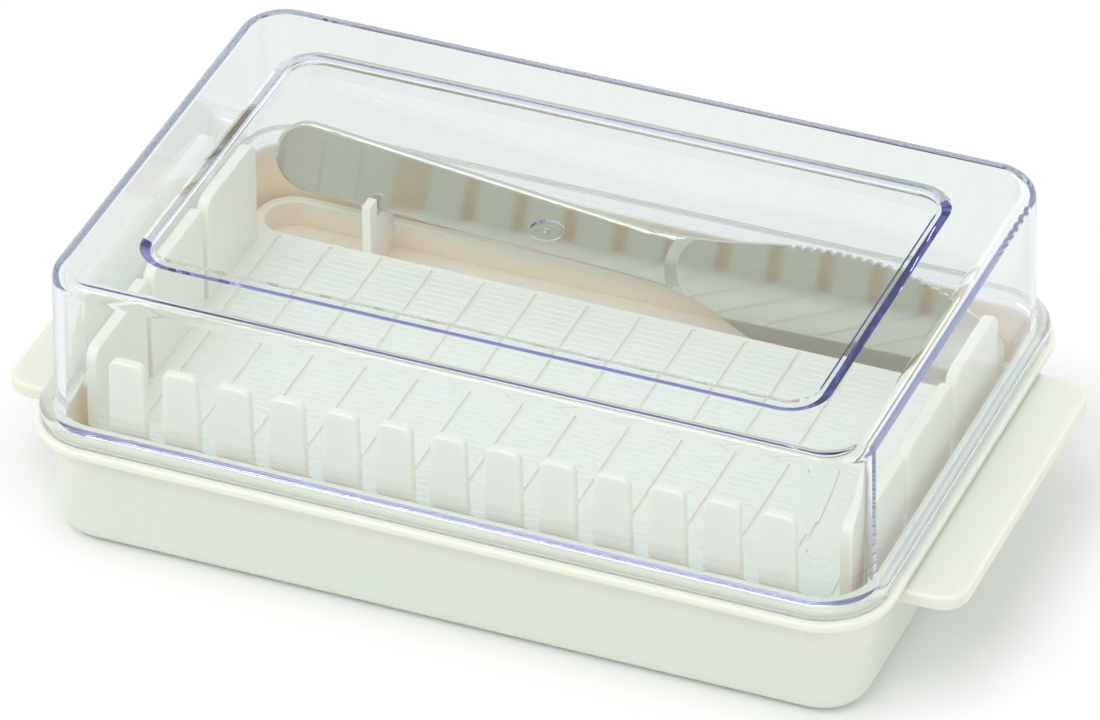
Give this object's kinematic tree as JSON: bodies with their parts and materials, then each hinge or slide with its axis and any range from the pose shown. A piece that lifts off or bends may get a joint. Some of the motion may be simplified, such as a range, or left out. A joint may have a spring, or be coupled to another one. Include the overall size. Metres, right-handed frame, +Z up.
{
  "type": "butter dish with slicing guide and knife",
  "caption": "Covered butter dish with a slotted cutting guide inside, a butter knife stored on its edge and a clear lift-off lid.",
  "frame": {"origin": "centre of the dish's footprint, on the face that it rests on", "axes": "+Z up, +X along the dish towards the knife's tip, +Y towards the knife, with the comb of slots at -Y"},
  "size_m": [0.1782, 0.1044, 0.054],
  "materials": {
    "tray": "satin moulded ivory",
    "guide": "satin moulded ivory",
    "lid": "clear, polished",
    "knife": "mirror-polished"
  },
  "bodies": {
    "tray": {"base_tray": "tray"},
    "guide": {"cutting_guide": "guide"},
    "knife": {"butter_knife": "knife"},
    "lid": {"clear_lid": "lid"}
  },
  "joints": [
    {"name": "guide_lift", "type": "slide", "parent": "tray", "child": "guide", "axis": [0, 0, 1], "range_m": [0, 0.04]},
    {"name": "knife_lift", "type": "slide", "parent": "guide", "child": "knife", "axis": [0, 0, 1], "range_m": [0, 0.04]},
    {"name": "lid_lift", "type": "slide", "parent": "knife", "child": "lid", "axis": [0, 0, 1], "range_m": [0, 0.06]}
  ]
}
